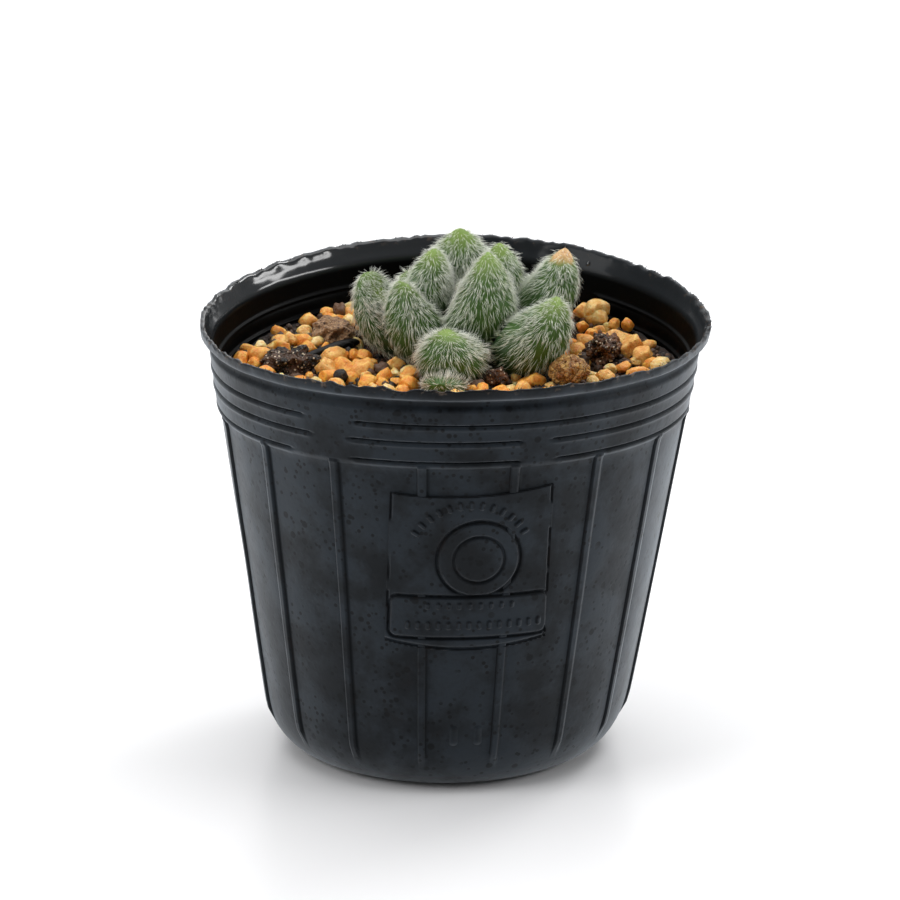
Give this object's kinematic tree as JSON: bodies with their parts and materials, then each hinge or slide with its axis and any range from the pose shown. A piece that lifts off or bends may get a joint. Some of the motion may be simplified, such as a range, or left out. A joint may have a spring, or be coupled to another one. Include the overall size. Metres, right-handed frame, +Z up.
{
  "type": "potted succulent",
  "caption": "Small furry-leaved succulent in a soft black round nursery pot with ribs, a ring band and a raised label panel, dressed with gravel and bark.",
  "frame": {"origin": "on the ground under the middle of the rim", "axes": "+Z up, the label panel faces -Y, +X to the right seen from the front"},
  "size_m": [0.06, 0.06, 0.0597],
  "materials": {
    "pot": "thin black polyethylene, half matt, with dried water marks",
    "soil": "moist dark potting soil",
    "bark": "wet dark composted bark",
    "porous": "rough reddish porous grain",
    "gravel": "dull orange and pale yellow pumice",
    "stem": "soft green stem",
    "leaf": "fleshy green leaf under dense white hair"
  },
  "bodies": {
    "root": {"pot": "pot", "soil": "soil", "stem": "stem", "leaf_front": "leaf", "leaf_front_low": "leaf", "leaf_left_front": "leaf", "leaf_left": "leaf", "leaf_middle_left": "leaf", "leaf_middle": "leaf", "leaf_middle_right": "leaf", "leaf_right": "leaf", "leaf_right_front": "leaf", "leaf_back": "leaf", "leaf_back_right": "leaf", "leaf_back_left": "leaf", "leaf_back_low": "leaf", "leaf_left_low": "leaf", "leaf_right_low": "leaf", "leaf_bud": "leaf", "bark_left": "bark", "bark_strip": "bark", "bark_right": "bark", "bark_front": "bark", "soil_lump_left": "soil", "porous_stone": "porous", "gravel_left": "gravel", "gravel_left_front": "gravel", "gravel_front": "gravel", "gravel_right_front": "gravel", "gravel_right": "gravel", "gravel_back": "gravel", "gravel_back_left": "gravel"}
  },
  "joints": []
}
